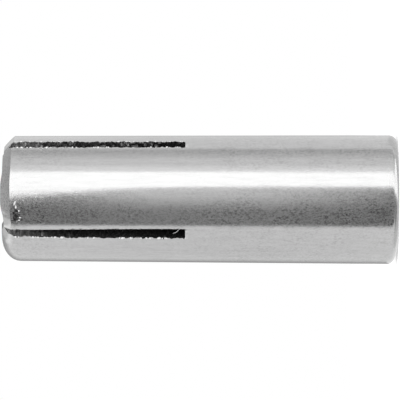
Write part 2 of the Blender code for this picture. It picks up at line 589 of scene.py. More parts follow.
@dataclass(frozen=True)
class Slot:
    """One saw cut through the wall.

    Attributes:
        root_angle: The view angle of its middle at the root, in degrees.
        tip_angle: The same at the tip.
        root_width: Its width at the root.
        tip_width: Its width at the tip.
        lower_tear: How far the wall on the side of smaller angles is torn.
        upper_tear: How far the other wall is torn.
        pinch: How much of it is smeared shut where the fingers' ends were chamfered, from 0 to 1.
    """

    root_angle: float
    tip_angle: float
    root_width: float
    tip_width: float
    lower_tear: float
    upper_tear: float
    pinch: float


@dataclass(frozen=True)
class Droop:
    """Where a finger's bowed end falls away towards a slot.

    Attributes:
        finger: The finger's number.
        begins: The view angle where it begins, in degrees.
        full: The view angle where it is full.
        depth: How far the end stands back there.
        power: Above 1, the end stays nearly level for longer.
    """

    finger: int
    begins: float
    full: float
    depth: float
    power: float = 1.0


@dataclass(frozen=True)
class Saw:
    """The slitting saw, and how roughly it cuts.

    Attributes:
        radius: Its radius, which curves the slots' floors.
        step: The height of one row of a cut's facets.
        columns: Facets from inside the bore to outside the shell.
        inner: The radius where a cut begins, inside the bore.
        margin: How far a cut runs past the shell.
        coarse: How much of a wall's tearing is slow wander, of coarse_size.
        fine: How much is fine roughness, of fine_size.
        spike: How much is teeth left standing, of spike_size, where the noise is above spike_floor.
        pinch_zone: How far below the tip face a smeared slot begins to close, and is closed.
        pinch_radii: The radii between which it goes from open to closed.
        root_corner: How much narrower a slot is at its very floor, on each side.
    """

    radius: float = 32.0 * MM
    step: float = 0.11 * MM
    columns: int = 20
    inner: float = 1.5 * MM
    margin: float = 1.0 * MM
    coarse_size: float = 0.9 * MM
    coarse: float = 0.45
    fine_size: float = 0.24 * MM
    fine: float = 1.3
    spike_size: float = 0.30 * MM
    spike: float = 1.8
    spike_floor: float = 0.35
    pinch_zone: tuple[float, float] = (1.0 * MM, 0.6 * MM)
    pinch_radii: tuple[float, float] = (4.0 * MM, 5.2 * MM)
    root_corner: float = 0.15 * MM


@dataclass(frozen=True)
class Pit:
    """The torn pit near the front finger's tip, and the patch of finer faces round it.

    Attributes:
        view_angle: The view angle of its middle, in degrees.
        height: The height of its middle.
        half_width: Half its width across the finger.
        half_length: Half its length along the finger.
        wobble: How far its rim wanders, by noise of wobble_size.
        depth: Its depth, roughened by noise of grain_size.
        roughness: How strong that noise is.
        slope: The share of the way to its middle that its side takes.
        soil: How dark the pit's inside is painted, as painted shade, once it is pit_shade_depth deep.
        least_radius: Nothing nearer to the axis is dented.
        patch_angles: The view angles between which the faces round it are divided by patch_cuts.
        patch_low: The lower edge of that patch.
        patch_high: Its upper edge.
        patch_radius: It leaves out what is nearer to the axis than this.
    """

    view_angle: float = -15.0
    height: float = 38.12 * MM
    half_width: float = 0.80 * MM
    half_length: float = 0.36 * MM
    wobble: float = 0.16 * MM
    wobble_size: float = 0.4 * MM
    depth: float = 0.06 * MM
    grain_size: float = 0.20 * MM
    roughness: float = 0.9
    slope: float = 0.35
    soil: float = 0.95
    pit_shade_depth: float = 0.02 * MM
    least_radius: float = 5.5 * MM
    patch_angles: tuple[float, float] = (-26.0, 4.0)
    patch_low: float = 36.9 * MM
    patch_high: float = 39.0 * MM
    patch_radius: float = 5.9 * MM
    patch_cuts: int = 3


@dataclass(frozen=True)
class Lips:
    """Torn lips along the slots, and where the plate is worn, from 0 for not at all to 1.

    Attributes:
        height: How high the lips stand, by noise of size, raised by bias.
        thickness: How deep into the wall they reach.
        end: How far below the tip face they end.
        wear: How worn they are, in patches of patch.
        patch_levels: The noise levels between which a patch goes from plated to worn.
        end_wear: How worn the fingers' ends are.
        mouth_wear: How worn the mouth's edge is, within mouth_zone of its face.
        corner_wear: How worn the smeared corner beside the lower slot is.
        corner_above: View angles where that corner's wear begins and is full, from above.
        corner_below: The same from below.
        corner_zone: How far below the tip face it begins and is full.
    """

    height: float = 0.07 * MM
    size: float = 0.45 * MM
    bias: float = 0.1
    thickness: float = 0.1 * MM
    end: float = 1.2 * MM
    wear: float = 0.9
    patch: float = 0.4 * MM
    patch_levels: tuple[float, float] = (-0.1, 0.35)
    end_wear: float = 0.25
    mouth_wear: float = 0.2
    mouth_zone: float = 1.2 * MM
    corner_wear: float = 0.8
    corner_above: tuple[float, float] = (-17.0, -22.0)
    corner_below: tuple[float, float] = (-56.0, -46.0)
    corner_zone: tuple[float, float] = (1.15 * MM, 0.85 * MM)


@dataclass
class Shell:
    """The anchor's shell: a turned and tapped steel sleeve, sawn into four fingers at its tip."""

    length: float = 39.7 * MM
    mouth_radius: float = 6.48 * MM
    root_radius: float = 6.38 * MM
    tip_radius: float = 6.28 * MM
    slot_root: float = 21.3 * MM
    bore_radius: float = 3.97 * MM
    countersink: float = 0.9 * MM
    taper_start: float = 24.5 * MM
    taper_end: float = 38.7 * MM
    exit_radius: float = 2.977 * MM
    exit_edge: float = 0.2 * MM
    mouth_axial: float = 0.87 * MM
    mouth_axial_front: float = 0.68 * MM
    mouth_radial_top: float = 0.85 * MM
    mouth_radial_bottom: float = 1.8 * MM
    mouth_radial_front: float = 0.72 * MM
    ring_spacing: float = 0.5 * MM
    steps: int = 256
    cut_weld: float = 0.002 * MM
    thread_pitch: float = INCH / 16
    thread_major: float = 0.375 * INCH / 2
    thread_depth: float = 0.625 * INCH
    thread_steps: int = 96
    tap_sunk: float = 0.15 * MM
    tap_start: float = 1.3 * MM
    tap_lead: tuple[float, float] = (-2.4 * MM, 0.2 * MM)
    tap_clearance: float = 0.01 * MM
    plain_margin: float = 0.05 * MM
    plain_end: float = 2.3 * MM
    crisp_angle: float = 32.0
    tip_zone: float = 2.7 * MM
    end_zone: float = 1.6 * MM
    fingers: tuple[FingerTip, ...] = (
        FingerTip(start=-122.0, axial=1.9 * MM, radial=2.3 * MM, fullness=1.0, short=0.0),
        FingerTip(start=-33.2, axial=0.98 * MM, radial=1.26 * MM, fullness=0.15, short=-0.08 * MM),
        FingerTip(start=58.7, axial=1.03 * MM, radial=1.05 * MM, fullness=0.1, short=0.20 * MM),
        FingerTip(start=148.0, axial=1.2 * MM, radial=1.3 * MM, fullness=0.35, short=0.05 * MM),
    )
    slots: tuple[Slot, ...] = (
        Slot(58.9, 59.1, 1.12 * MM, 1.18 * MM, 0.17 * MM, 0.22 * MM, pinch=0.93),
        Slot(-33.0, -33.6, 1.12 * MM, 0.86 * MM, 0.15 * MM, 0.015 * MM, pinch=0.0),
        Slot(148.0, 148.3, 1.02 * MM, 0.88 * MM, 0.05 * MM, 0.12 * MM, pinch=0.2),
        Slot(-122.0, -121.8, 0.98 * MM, 0.88 * MM, 0.10 * MM, 0.04 * MM, pinch=0.1),
    )
    droops: tuple[Droop, ...] = (
        Droop(finger=0, begins=-56.0, full=-38.0, depth=0.28 * MM),
        Droop(finger=1, begins=0.0, full=-28.0, depth=0.38 * MM, power=1.5),
        Droop(finger=1, begins=14.0, full=34.0, depth=0.17 * MM),
    )
    corner_angles: tuple[float, float] = (-17.0, -28.0)
    corner_radial: float = 0.5 * MM
    saw: Saw = Saw()
    pit: Pit = Pit()
    lips: Lips = Lips()
    bore_rings: int = 16
    taper_rings: int = 12
    end_points: int = 3
    edge_points: int = 9
    blend_points: int = 5
    mouth_points: int = 10

    def outer_radius(self, height: float) -> float:
        """Radius of the drafted shank at a height."""
        if height <= self.slot_root:
            return mixed(self.mouth_radius, self.root_radius, height / self.slot_root)
        share = (height - self.slot_root) / (self.length - self.slot_root)
        return mixed(self.root_radius, self.tip_radius, share)

    def tip_edge(self, finger: FingerTip) -> Section:
        """Outline of a finger's end, from half way across its end face down on to the shank.

        Args:
            finger: How the finger ends.

        Returns:
            Points as (radius, height), the same number for every finger.
        """
        top = self.length - finger.short
        shank = self.outer_radius(top - finger.axial)
        inner = self.exit_radius + self.exit_edge
        points = []
        for step in range(self.end_points):
            share = (step + 1) / (self.end_points + 1)
            points.append((mixed(inner, shank - finger.radial, share), top))
        for step in range(self.edge_points):
            share = step / (self.edge_points - 1)
            turn = math.pi / 2 * share
            straight = (shank - finger.radial * (1 - share), top - finger.axial * share)
            round_radius = shank - finger.radial * (1 - math.sin(turn))
            round_height = top - finger.axial * (1 - math.cos(turn))
            radius = mixed(straight[0], round_radius, finger.fullness)
            height = mixed(straight[1], round_height, finger.fullness)
            points.append((radius, height))
        low = self.length - self.tip_zone
        for step in range(self.blend_points):
            height = mixed(top - finger.axial, low, (step + 1) / self.blend_points)
            points.append((self.outer_radius(height), height))
        return points

    def mouth_edge(self, view_angle: float) -> Section:
        """Rounded outer edge of the mouth at a view angle, from the shank down to the mouth face.

        Args:
            view_angle: The view angle in degrees.

        Returns:
            Points as (radius, height), the same number for every angle.
        """
        middle = (self.mouth_radial_top + self.mouth_radial_bottom) / 2
        swing = (self.mouth_radial_top - self.mouth_radial_bottom) / 2
        facing = math.cos(math.radians(view_angle)) ** 2
        radial = mixed(middle + swing * math.sin(math.radians(view_angle)), self.mouth_radial_front, facing)
        axial = mixed(self.mouth_axial, self.mouth_axial_front, facing)
        shank = self.outer_radius(axial)
        points = []
        for step in range(self.mouth_points):
            turn = math.pi / 2 * step / (self.mouth_points - 1)
            points.append((shank - radial * (1 - math.cos(turn)), axial * (1 - math.sin(turn))))
        return points

    def section(self) -> Section:
        """Closed half section: down the outside from the tip, then up the bore.

        Returns:
            Points as (radius, height).
        """
        low = self.length - self.tip_zone
        rings = round((low - self.mouth_axial) / self.ring_spacing)
        points = self.tip_edge(self.fingers[1])
        for ring in range(1, rings):
            height = mixed(low, self.mouth_axial, ring / rings)
            points.append((self.outer_radius(height), height))
        points += self.mouth_edge(0.0)
        points.append((self.bore_radius + self.countersink, 0.0))
        points.append((self.bore_radius, self.countersink))
        for ring in range(1, self.bore_rings + 1):
            height = mixed(self.countersink, self.taper_start, ring / self.bore_rings)
            points.append((self.bore_radius, height))
        for ring in range(1, self.taper_rings + 1):
            share = ring / self.taper_rings
            radius = mixed(self.bore_radius, self.exit_radius, share)
            points.append((radius, mixed(self.taper_start, self.taper_end, share)))
        points.append((self.exit_radius, self.length - self.exit_edge))
        points.append((self.exit_radius + self.exit_edge, self.length))
        return points

    def finger_at(self, view_angle: float) -> FingerTip:
        """The finger that a view angle lies on."""
        turned = (view_angle - self.fingers[0].start) % 360
        starts = [(finger.start - self.fingers[0].start) % 360 for finger in self.fingers]
        number = max(index for index, start in enumerate(starts) if start <= turned)
        return self.fingers[number]

    def end_at(self, view_angle: float) -> FingerTip:
        """How the finger at a view angle ends there, as the front one's chamfer dies out at a corner."""
        finger = self.finger_at(view_angle)
        if finger is not self.fingers[1]:
            return finger
        corner = smooth_step(*self.corner_angles, view_angle)
        return replace(finger, radial=mixed(finger.radial, self.corner_radial, corner))

    def end_droop(self, view_angle: float) -> float:
        """How far the bowed end of the finger at a view angle falls away there."""
        finger = self.finger_at(view_angle)
        drop = 0.0
        for droop in self.droops:
            if self.fingers[droop.finger] is finger:
                drop += droop.depth * smooth_step(droop.begins, droop.full, view_angle) ** droop.power
        return drop

    def shape_ends(self, shell: bpy.types.Object) -> None:
        """Gives each finger its own end, and the mouth's edge its uneven round.

        Args:
            shell: The turned shell, before it is sawn.
        """
        mesh = shell.data
        values = places(mesh)
        radii = np.hypot(values[:, 0], values[:, 1])
        base_tip = np.array(self.tip_edge(self.fingers[1]))
        base_mouth = np.array(self.mouth_edge(0.0))
        for index, (x, y, z) in enumerate(values):
            radius = radii[index]
            near_tip = np.hypot(base_tip[:, 0] - radius, base_tip[:, 1] - z)
            near_mouth = np.hypot(base_mouth[:, 0] - radius, base_mouth[:, 1] - z)
            angle = view_angle_of(x, y)
            if near_tip.min() < SAME_CORNER:
                new_radius, new_height = self.tip_edge(self.end_at(angle))[int(near_tip.argmin())]
                share = smooth_step(self.length - self.end_zone, self.length, new_height)
                new_height -= self.end_droop(angle) * share
            elif near_mouth.min() < SAME_CORNER:
                new_radius, new_height = self.mouth_edge(angle)[int(near_mouth.argmin())]
            elif z > self.taper_end and radius < self.exit_radius + self.exit_edge + WELD:
                finger = self.finger_at(angle)
                new_radius, new_height = radius, z - finger.short - self.end_droop(angle)
            else:
                continue
            scale = new_radius / radius
            values[index] = (x * scale, y * scale, new_height)
        put_places(mesh, values)

    def paint(self, mesh: bpy.types.Mesh, place: Place) -> None:
        """Gives a mesh the shell's three materials, and all its faces the one of a place."""
        for material in self.materials:
            mesh.materials.append(material)
        mesh.polygons.foreach_set("material_index", [place.value] * len(mesh.polygons))

    def saw_sag(self, across: float) -> float:
        """How much higher the saw's round edge stands at a distance from the axis than on it."""
        return self.saw.radius - math.sqrt(self.saw.radius**2 - across**2)

    def slot_cutter(self, slot: Slot, number: int) -> bpy.types.Object:
        """The torn space of one saw cut, from inside the bore to outside the shell.

        Args:
            slot: The cut's place, widths and tearing.
            number: Tells its noise apart from the other cuts'.

        Returns:
            A closed mesh object.
        """
        saw = self.saw
        outer = self.root_radius + saw.margin
        top = self.length + saw.margin
        rows = round((top - self.slot_root) / saw.step)
        cutter = add_grid(saw.columns, rows)
        with editing(cutter, whole=True):
            bpy.ops.mesh.extrude_region_move(TRANSFORM_OT_translate={"value": (0, 0, 1.0)})

        mesh = cutter.data
        values = places(mesh)
        pinch_from, pinch_to = (self.length - reach for reach in saw.pinch_zone)
        for index, (x, y, z) in enumerate(values):
            radius = mixed(saw.inner, outer, x + 0.5)
            floor = self.slot_root - self.saw_sag(self.root_radius) + self.saw_sag(radius)
            height = mixed(floor, top, y + 0.5)
            side = 1 if z > 0.5 else -1
            tear = slot.upper_tear if side > 0 else slot.lower_tear
            share = smooth_step(self.slot_root, self.length, height)
            half_width = mixed(slot.root_width, slot.tip_width, share) / 2
            angle = world_angle(mixed(slot.root_angle, slot.tip_angle, share))
            along = Vector((math.cos(angle), math.sin(angle), 0))
            across = Vector((-math.sin(angle), math.cos(angle), 0))
            seed = number * 7.0 + side * 3.0
            coarse = grain(saw.coarse_size, radius, seed, height)
            fine = grain(saw.fine_size, radius, seed + 1, height)
            spike = max(0.0, grain(saw.spike_size, radius, seed + 2, height) - saw.spike_floor)
            half_width += tear * (saw.coarse * coarse + saw.fine * fine) - tear * saw.spike * spike
            smeared = smooth_step(pinch_from, pinch_to, height)
            half_width *= 1 - slot.pinch * smeared * smooth_step(*saw.pinch_radii, radius)
            if height < floor + saw.step / 2:
                half_width -= saw.root_corner
            values[index] = along * radius + across * (side * half_width) + Vector((0, 0, height))
        put_places(mesh, values)
        self.paint(mesh, Place.SAWN)
        with editing(cutter, whole=True):
            bpy.ops.mesh.normals_make_consistent(inside=False)
        return cutter

    def thread_cutter(self) -> bpy.types.Object:
        """The helical ridge that a tap clears: 60 degree flanks with a flat crest, right-handed.

        Returns:
            A closed mesh object.
        """
        inner = self.bore_radius - self.tap_sunk
        crest = self.thread_pitch / 8
        depth = self.thread_major - inner
        base = crest + 2 * depth * math.tan(math.radians(30))
        start = -self.tap_start
        corners = [
            (inner, start - base / 2),
            (self.thread_major, start - crest / 2),
            (self.thread_major, start + crest / 2),
            (inner, start + base / 2),
        ]
        ridge = draw_section("tap", corners, closed=True)
        apply_modifier(
            ridge,
            "SCREW",
            axis="Z",
            angle=math.tau,
            screw_offset=self.thread_pitch,
            iterations=math.ceil((self.thread_depth - start) / self.thread_pitch),
            steps=self.thread_steps,
            render_steps=self.thread_steps,
            use_smooth_shade=False,
        )
        with editing(ridge, whole=True):
            bpy.ops.mesh.fill_holes(sides=4)
            bpy.ops.mesh.normals_make_consistent(inside=False)

        # The tap's lead lets the last turn and a half run out of the wall
        values = places(ridge.data)
        lead_from, lead_to = (self.thread_depth + reach for reach in self.tap_lead)
        for index, (x, y, z) in enumerate(values):
            radius = math.hypot(x, y)
            keep = 1 - smooth_step(lead_from, lead_to, z)
            if radius > inner + WELD:
                scale = mixed(inner - self.tap_clearance, radius, keep) / radius
                values[index] = (x * scale, y * scale, z)
        put_places(ridge.data, values)
        self.paint(ridge.data, Place.BORE)
        return ridge

    def name_places(self, shell: bpy.types.Object) -> None:
        """Gives the turned shell's faces the materials of the outside and of the bore."""
        self.paint(shell.data, Place.OUTSIDE)
        for face in shell.data.polygons:
            x, y, z = face.center
            inside = math.hypot(x, y) < self.bore_radius + SAME_CORNER
            faces_in = face.normal.x * x + face.normal.y * y < -FLAT
            if inside or faces_in and z < self.countersink:
                face.material_index = Place.BORE.value

    def refine_pit(self, shell: bpy.types.Object) -> None:
        """Divides the faces round the pit near the front finger's tip, so that it can be dented."""
        pit = self.pit

        def near_pit(face: bpy.types.MeshPolygon) -> bool:
            """Whether a face lies in the pit's patch on the outside."""
            x, y, z = face.center
            beside = pit.patch_angles[0] < view_angle_of(x, y) < pit.patch_angles[1]
            return beside and pit.patch_low < z < pit.patch_high and math.hypot(x, y) > pit.patch_radius

        choose_faces(shell, near_pit)
        with editing(shell):
            bpy.ops.mesh.subdivide(number_cuts=pit.patch_cuts)

    def pit_depth(self, view_angle: float, height: float) -> float:
        """Depth of the torn pit at a place on the front finger's tip."""
        pit = self.pit
        across = math.radians(view_angle - pit.view_angle) * self.tip_radius
        along = height - pit.height
        wobble = pit.wobble * grain(pit.wobble_size, across, along, 0.0)
        inside = 1 - math.hypot(across / (pit.half_width + wobble), along / (pit.half_length + wobble))
        if inside <= 0:
            return 0.0
        rough = 1 + pit.roughness * grain(pit.grain_size, across, along, 5.0)
        return pit.depth * smooth_step(0.0, pit.slope, inside) * rough

    def trim_fins(self, shell: bpy.types.Object) -> None:
        """Welds points that the cuts left almost in one place, and trims fins without thickness.

        Where only two edges meet on a slot's edge, the faces on both sides could be cut into
        triangles that lie back to back. Cut here, they can be found and taken off.

        Args:
            shell: The sawn and tapped shell.
        """
        mesh = shell.data
        with editing(shell, whole=True):
            bpy.ops.mesh.remove_doubles(threshold=self.cut_weld)
        ends = np.empty(len(mesh.edges) * 2, dtype=int)
        mesh.edges.foreach_get("vertices", ends)
        meeting = np.bincount(ends, minlength=len(mesh.vertices))
        choose_faces(shell, lambda face: any(meeting[point] == 2 for point in face.vertices))
        with editing(shell):
            bpy.ops.mesh.quads_convert_to_tris(quad_method="BEAUTY", ngon_method="BEAUTY")

        sides = np.empty(len(mesh.loops), dtype=int)
        mesh.loops.foreach_get("edge_index", sides)
        sharing = np.bincount(sides, minlength=len(mesh.edges))
        corners = Counter(frozenset(face.vertices) for face in mesh.polygons)

        def is_fin(face: bpy.types.MeshPolygon) -> bool:
            """Whether a face hangs open along an edge, or lies back to back with its double."""
            hangs = any(sharing[sides[loop]] == 1 for loop in face.loop_indices)
            return hangs or corners[frozenset(face.vertices)] > 1

        choose_faces(shell, is_fin)
        with editing(shell):
            bpy.ops.mesh.delete(type="FACE")

    def weather(self, shell: bpy.types.Object) -> None:
        """Dents the pit, raises torn lips along the slots and marks where the plate is worn.

        Args:
            shell: The sawn and tapped shell.
        """
        mesh = shell.data
        lips = self.lips
        values = places(mesh)
        on_saw, on_outside, disturbed = np.zeros((3, len(mesh.vertices)), dtype=bool)
        for face in mesh.polygons:
            group = on_saw if face.material_index == Place.SAWN.value else on_outside
            if face.material_index != Place.BORE.value:
                group[list(face.vertices)] = True
        wear, soil = np.zeros((2, len(mesh.vertices)))
        corner_from, corner_to = (self.length - reach for reach in lips.corner_zone)
        for index, (x, y, z) in enumerate(values):
            if not on_outside[index]:
                continue
            radius = math.hypot(x, y)
            angle = view_angle_of(x, y)
            lift = 0.0
            on_lip = on_saw[index] and z < self.length - lips.end
            if on_lip and radius > self.outer_radius(z) - lips.thickness:
                lift = lips.height * max(0.0, grain(lips.size, x, y, z) + lips.bias)
                wear[index] = lips.wear * smooth_step(*lips.patch_levels, grain(lips.patch, y, z, x))
                disturbed[index] = True
            depth = self.pit_depth(angle, z) if radius > self.pit.least_radius else 0.0
            if depth:
                disturbed[index] = True
                # Painted shade: the pit's inside is darkened, fully once it is a little deep
                soil[index] = self.pit.soil * smooth_step(0.0, self.pit.pit_shade_depth, depth)
            end_wear = lips.end_wear * smooth_step(self.length - self.end_zone, self.length, z)
            mouth_wear = lips.mouth_wear * smooth_step(lips.mouth_zone, 0.0, z)
            above = smooth_step(*lips.corner_above, angle)
            below = smooth_step(*lips.corner_below, angle)
            corner_wear = lips.corner_wear * above * below * smooth_step(corner_from, corner_to, z)
            wear[index] = max(wear[index], end_wear, mouth_wear, corner_wear)
            scale = (radius + lift - depth) / radius
            values[index] = (x * scale, y * scale, z)
        put_places(mesh, values)
        for name, shares in (("wear", wear), ("soil", soil)):
            mesh.attributes.new(name, "FLOAT", "POINT").data.foreach_set("value", shares)
        self.disturbed = disturbed

    def true_normals(self, shell: bpy.types.Object) -> None:
        """Gives the plain shank the normals of the drafted cylinder that its facets stand for.

        Args:
            shell: The finished shell, shaded smooth by angle.
        """
        mesh = shell.data
        normals = np.empty(len(mesh.loops) * 3)
        mesh.corner_normals.foreach_get("vector", normals)
        normals = normals.reshape(-1, 3)
        owners = np.empty(len(mesh.loops), dtype=int)
        mesh.loops.foreach_get("vertex_index", owners)
        values = places(mesh)[owners]
        radii = np.hypot(values[:, 0], values[:, 1])
        heights = values[:, 2]
        plain = ~self.disturbed[owners] & (radii > self.tip_radius - self.plain_margin)
        plain &= (heights > self.mouth_axial + self.plain_margin) & (heights < self.length - self.plain_end)
        for face in mesh.polygons:
            if face.material_index != Place.OUTSIDE.value:
                plain[face.loop_start : face.loop_start + face.loop_total] = False
        normals[plain, 0] = values[plain, 0] / radii[plain]
        normals[plain, 1] = values[plain, 1] / radii[plain]
        normals[plain, 2] = (self.mouth_radius - self.root_radius) / self.slot_root
        normals /= np.linalg.norm(normals, axis=1, keepdims=True)
        mesh.normals_split_custom_set(normals.tolist())

    def edge_point(self, slot: Slot, side: int, height: float, lift: float) -> Vector:
        """A place on the outer edge of a slot.

        Args:
            slot: The slot.
            side: 1 for its wall at larger view angles, -1 for the other.
            height: The height on the shell.
            lift: How far the place stands out from the shank.

        Returns:
            The place.
        """
        share = (height - self.slot_root) / (self.length - self.slot_root)
        radius = self.outer_radius(height) + lift
        half_width = mixed(slot.root_width, slot.tip_width, share) / 2
        angle = world_angle(mixed(slot.root_angle, slot.tip_angle, share)) + side * half_width / radius
        return polar(radius, angle, height)

    def build(self, materials: tuple[bpy.types.Material, ...]) -> bpy.types.Object:
        """Models and dresses the shell.

        Args:
            materials: Its finish outside, in the slots and in the bore.

        Returns:
            The finished piece.
        """
        self.materials = materials
        shell = draw_section("shell_body", self.section(), closed=True)
        spin_section(shell, self.steps)
        self.shape_ends(shell)
        self.name_places(shell)
        self.refine_pit(shell)
        cut_away(shell, join([self.slot_cutter(slot, number) for number, slot in enumerate(self.slots)]))
        cut_away(shell, self.thread_cutter())
        self.trim_fins(shell)
        self.weather(shell)
        smooth_by_angle(shell, self.crisp_angle)
        self.true_normals(shell)
        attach(shell, "shell")
        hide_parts("anchor_shell")
        return shell


# The saw's burrs


@dataclass(frozen=True)
class Crumb:
    """One torn crumb on a slot's edge: its slot, the edge's side, and its height and length in mm."""

    slot: int
    side: int
    height: float
    length: float


@dataclass
class SawBurrs:
    """Crumbs, a curl and a whisker that the saw left on the slots' edges."""

    shell: Shell
    width: float = 0.17 * MM
    width_spread: tuple[float, float] = (0.8, 1.5)
    thickness: float = 0.11 * MM
    thickness_spread: tuple[float, float] = (0.8, 1.6)
    lean_spread: float = 20.0
    roll_spread: float = 6.0
    dents: float = 0.12
    seed: int = 11
    scattered: int = 17
    scattered_heights: tuple[float, float] = (21.6, 38.4)
    scattered_lengths: tuple[float, float] = (0.08, 0.2)
    stand_out: float = 0.02 * MM
    clean_edge: tuple[int, int] = (1, 1)
    curl_radius: float = 0.24 * MM
    curl_height: float = 35.7 * MM
    curl_rise: float = 0.02 * MM
    curl_angle: float = 51.5
    curl_points: int = 8
    curl_turns: tuple[float, float] = (-70.0, 196.0)
    curl_lifts: tuple[float, float] = (0.01 * MM, 0.094 * MM)
    whisker_height: float = 22.0 * MM
    wire_radius: float = 0.030 * MM
    wire_taper: float = 0.7
    crisp_angle: float = 50.0
    crumbs: tuple[Crumb, ...] = (
        Crumb(0, -1, 37.65, 0.30),
        Crumb(0, -1, 36.75, 0.36),
        Crumb(0, -1, 35.16, 0.30),
        Crumb(0, 1, 33.97, 0.24),
        Crumb(0, 1, 32.57, 0.24),
        Crumb(0, 1, 28.00, 0.30),
        Crumb(0, 1, 27.20, 0.22),
        Crumb(0, 1, 25.10, 0.26),
        Crumb(0, 1, 24.30, 0.22),
        Crumb(0, 1, 21.75, 0.26),
        Crumb(1, -1, 38.20, 0.22),
        Crumb(1, -1, 36.45, 0.22),
        Crumb(1, -1, 34.26, 0.26),
        Crumb(1, -1, 33.60, 0.34),
        Crumb(1, -1, 30.38, 0.24),
        Crumb(1, -1, 27.50, 0.40),
        Crumb(1, -1, 23.90, 0.40),
    )

    # View angle, height, length and lean of the white crumbs round the torn pit, painted highlights where
    # it glints
    pit_glint_crumbs: tuple[tuple[float, float, float, float], ...] = (
        (-4.2, 38.26, 0.46, 50.0),
        (-7.8, 38.15, 0.32, 80.0),
        (-11.4, 37.84, 0.14, 90.0),
        (-17.6, 37.74, 0.12, 95.0),
        (-20.2, 37.82, 0.13, 70.0),
    )

    def model_crumb(self) -> bpy.types.Object:
        """Models one torn crumb about the origin: a flat, dented pebble with its length along Z.

        Returns:
            The crumb, one unit long, wide and thick.
        """
        deselect_all()
        bpy.ops.mesh.primitive_ico_sphere_add(subdivisions=2, radius=0.5)
        crumb = bpy.context.active_object
        with editing(crumb, whole=True):
            bpy.ops.transform.vertex_random(offset=self.dents, seed=self.seed)
        return crumb

    def place_crumb(
        self, pattern: bpy.types.Object, place: Vector, length: float, lean: float, luck: random.Random
    ) -> bpy.types.Object:
        """Copies the crumb, with its own mesh, on to the shell.

        Args:
            pattern: The modelled crumb.
            place: Where it sits.
            length: Its length.
            lean: How far it turns from along the shell to across it, in degrees.
            luck: The seeded random numbers.

        Returns:
            The copy, with its place in its mesh.
        """
        copy = pattern.copy()
        copy.data = pattern.data.copy()
        bpy.context.scene.collection.objects.link(copy)
        thick = self.thickness * luck.uniform(*self.thickness_spread)
        wide = self.width * luck.uniform(*self.width_spread)
        roll = Matrix.Rotation(luck.uniform(0, self.roll_spread), 4, "Z")
        turn = Matrix.Rotation(math.atan2(place.y, place.x), 4, "Z")
        lean += luck.uniform(-self.lean_spread, self.lean_spread)
        tilt = Matrix.Rotation(math.radians(lean), 4, "X")
        size = Matrix.Diagonal((thick, wide, length, 1))
        copy.data.transform(Matrix.Translation(place) @ turn @ tilt @ size @ roll)
        return copy

    def wire(self, name: str, points: list[Vector]) -> bpy.types.Object:
        """Bends a thin strand of swarf along a few points.

        Args:
            name: The strand's name.
            points: Where it runs.

        Returns:
            A mesh object.
        """
        deselect_all()
        bpy.ops.curve.primitive_nurbs_path_add()
        strand = bpy.context.active_object
        strand.name = name
        curve = strand.data
        curve.splines.clear()
        spline = curve.splines.new("NURBS")
        spline.points.add(len(points) - 1)
        for number, (point, place) in enumerate(zip(spline.points, points)):
            point.co = (*place, 1.0)
            point.radius = 1.0 - self.wire_taper * number / len(points)
        spline.use_endpoint_u = True
        spline.order_u = 3
        curve.resolution_u = 5
        curve.bevel_depth = self.wire_radius
        curve.bevel_resolution = 1
        curve.use_fill_caps = True
        activate(strand)
        bpy.ops.object.convert(target="MESH")
        return bpy.context.active_object

    def curl(self) -> bpy.types.Object:
        """The curl that stands on the front finger beside the upper slot."""
        radius = self.shell.outer_radius(self.curl_height)
        points = []
        for step in range(self.curl_points):
            share = step / (self.curl_points - 1)
            turn = math.radians(mixed(*self.curl_turns, share))
            angle = world_angle(self.curl_angle) + self.curl_radius * math.cos(turn) / radius
            height = self.curl_height + self.curl_rise + self.curl_radius * math.sin(turn)
            points.append(polar(radius + mixed(*self.curl_lifts, share), angle, height))
        return self.wire("curl", points)

    def whisker(self) -> bpy.types.Object:
        """The whisker that hangs across the lower slot near its root."""
        radius = self.shell.outer_radius(self.whisker_height)
        # How far each point stands out, its view angle and its height. The last is in the finger.
        rows = ((-0.20, -33.6, 22.50), (-0.02, -32.4, 22.32), (0.03, -30.6, 22.10), (-0.04, -27.3, 21.78))
        points = [polar(radius + out * MM, world_angle(angle), high * MM) for out, angle, high in rows]
        return self.wire("whisker", points)

    def build(self, torn: bpy.types.Material) -> bpy.types.Object:
        """Models and dresses the burrs as one piece.

        Args:
            torn: Their finish, whose near-white colour paints the burrs' glints as painted highlights.

        Returns:
            The finished piece.
        """
        luck = random.Random(self.seed)
        crumbs = list(self.crumbs)
        for number in range(len(self.shell.slots)):
            for side in (-1, 1):
                if (number, side) == self.clean_edge:
                    continue
                for _ in range(self.scattered):
                    height = luck.uniform(*self.scattered_heights)
                    crumbs.append(Crumb(number, side, height, luck.uniform(*self.scattered_lengths)))
        pattern = self.model_crumb()
        parts = []
        for crumb in crumbs:
            slot = self.shell.slots[crumb.slot]
            place = self.shell.edge_point(slot, crumb.side, crumb.height * MM, self.stand_out)
            parts.append(self.place_crumb(pattern, place, crumb.length * MM, 0.0, luck))
        # Painted highlights: white crumbs where the pit glints
        for view_angle, height, length, lean in self.pit_glint_crumbs:
            place = polar(self.shell.outer_radius(height * MM), world_angle(view_angle), height * MM)
            parts.append(self.place_crumb(pattern, place, length * MM, lean, luck))
        bpy.data.objects.remove(pattern)
        parts += [self.curl(), self.whisker()]
        burrs = join(parts)
        burrs.name = burrs.data.name = "saw_burrs"
        burrs.data.materials.clear()
        burrs.data.materials.append(torn)
        with editing(burrs, whole=True):
            bpy.ops.mesh.normals_make_consistent(inside=False)
        smooth_by_angle(burrs, self.crisp_angle)
        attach(burrs, "shell")
        return burrs


# The plug


